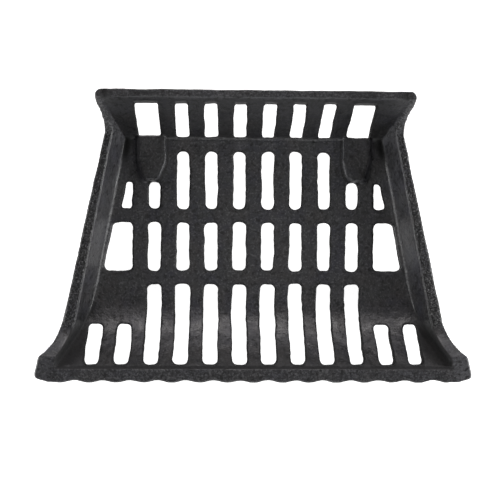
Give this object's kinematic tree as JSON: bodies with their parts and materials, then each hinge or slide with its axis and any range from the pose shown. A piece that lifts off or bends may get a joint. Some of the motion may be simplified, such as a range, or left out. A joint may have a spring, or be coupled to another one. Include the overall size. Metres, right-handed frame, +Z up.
{
  "type": "log grate",
  "caption": "Cast-iron fireplace basket grate with a slotted floor, a leaning slotted back, a curved slotted front, flared plain sides and bolted-on tapered legs.",
  "frame": {"origin": "on the hearth, under the middle of the overall box", "axes": "+X to the right across the front, +Y from the front to the back wall, +Z up"},
  "size_m": [0.428, 0.284, 0.1425],
  "materials": {
    "basket_iron": "black painted sand casting, rough on the rims",
    "leg_iron": "black painted sand casting",
    "bolt_steel": "dulled zinc plate",
    "washer_steel": "blackened spring steel"
  },
  "bodies": {
    "root": {"basket": "basket_iron", "leg_front_left": "leg_iron", "leg_front_right": "leg_iron", "leg_rear_left": "leg_iron", "leg_rear_right": "leg_iron", "bolt_front_left": "bolt_steel", "bolt_front_right": "bolt_steel", "bolt_rear_left": "bolt_steel", "bolt_rear_right": "bolt_steel", "spring_washer_front_left": "washer_steel", "spring_washer_front_right": "washer_steel", "spring_washer_rear_left": "washer_steel", "spring_washer_rear_right": "washer_steel"}
  },
  "joints": []
}
